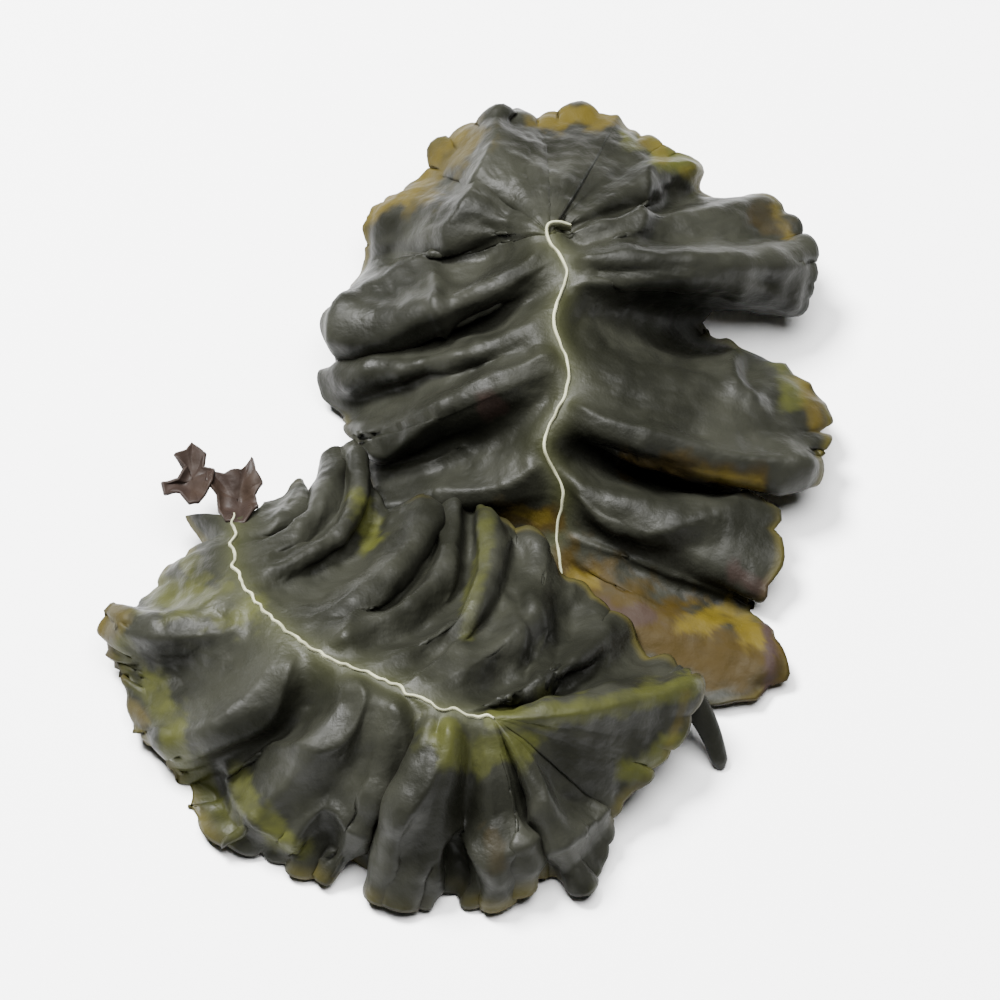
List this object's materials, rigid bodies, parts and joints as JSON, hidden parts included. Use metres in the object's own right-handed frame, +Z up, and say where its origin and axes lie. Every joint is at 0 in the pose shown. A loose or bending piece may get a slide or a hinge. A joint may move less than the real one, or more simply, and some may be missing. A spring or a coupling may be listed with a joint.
{
  "type": "dried mekabu",
  "caption": "Dried seaweed frills lying together: thin leathery sheets, ruffled in folds that fan out from narrow pale cut edges, with a torn dry tip",
  "frame": {"origin": "on the surface that the frills rest on, under the middle of their box", "axes": "+X from the yellow lobe of the front frill to the lobes of the rear one; +Y along the longest side, from the front frill to the rear one; +Z up"},
  "size_m": [0.138, 0.1848, 0.0316],
  "materials": {
    "lamina": "dark grey-green dried seaweed with a broad satin sheen, pale cream cut edge, thin olive, yellow and amber margins"
  },
  "bodies": {
    "root": {"frills": "lamina"}
  },
  "joints": []
}
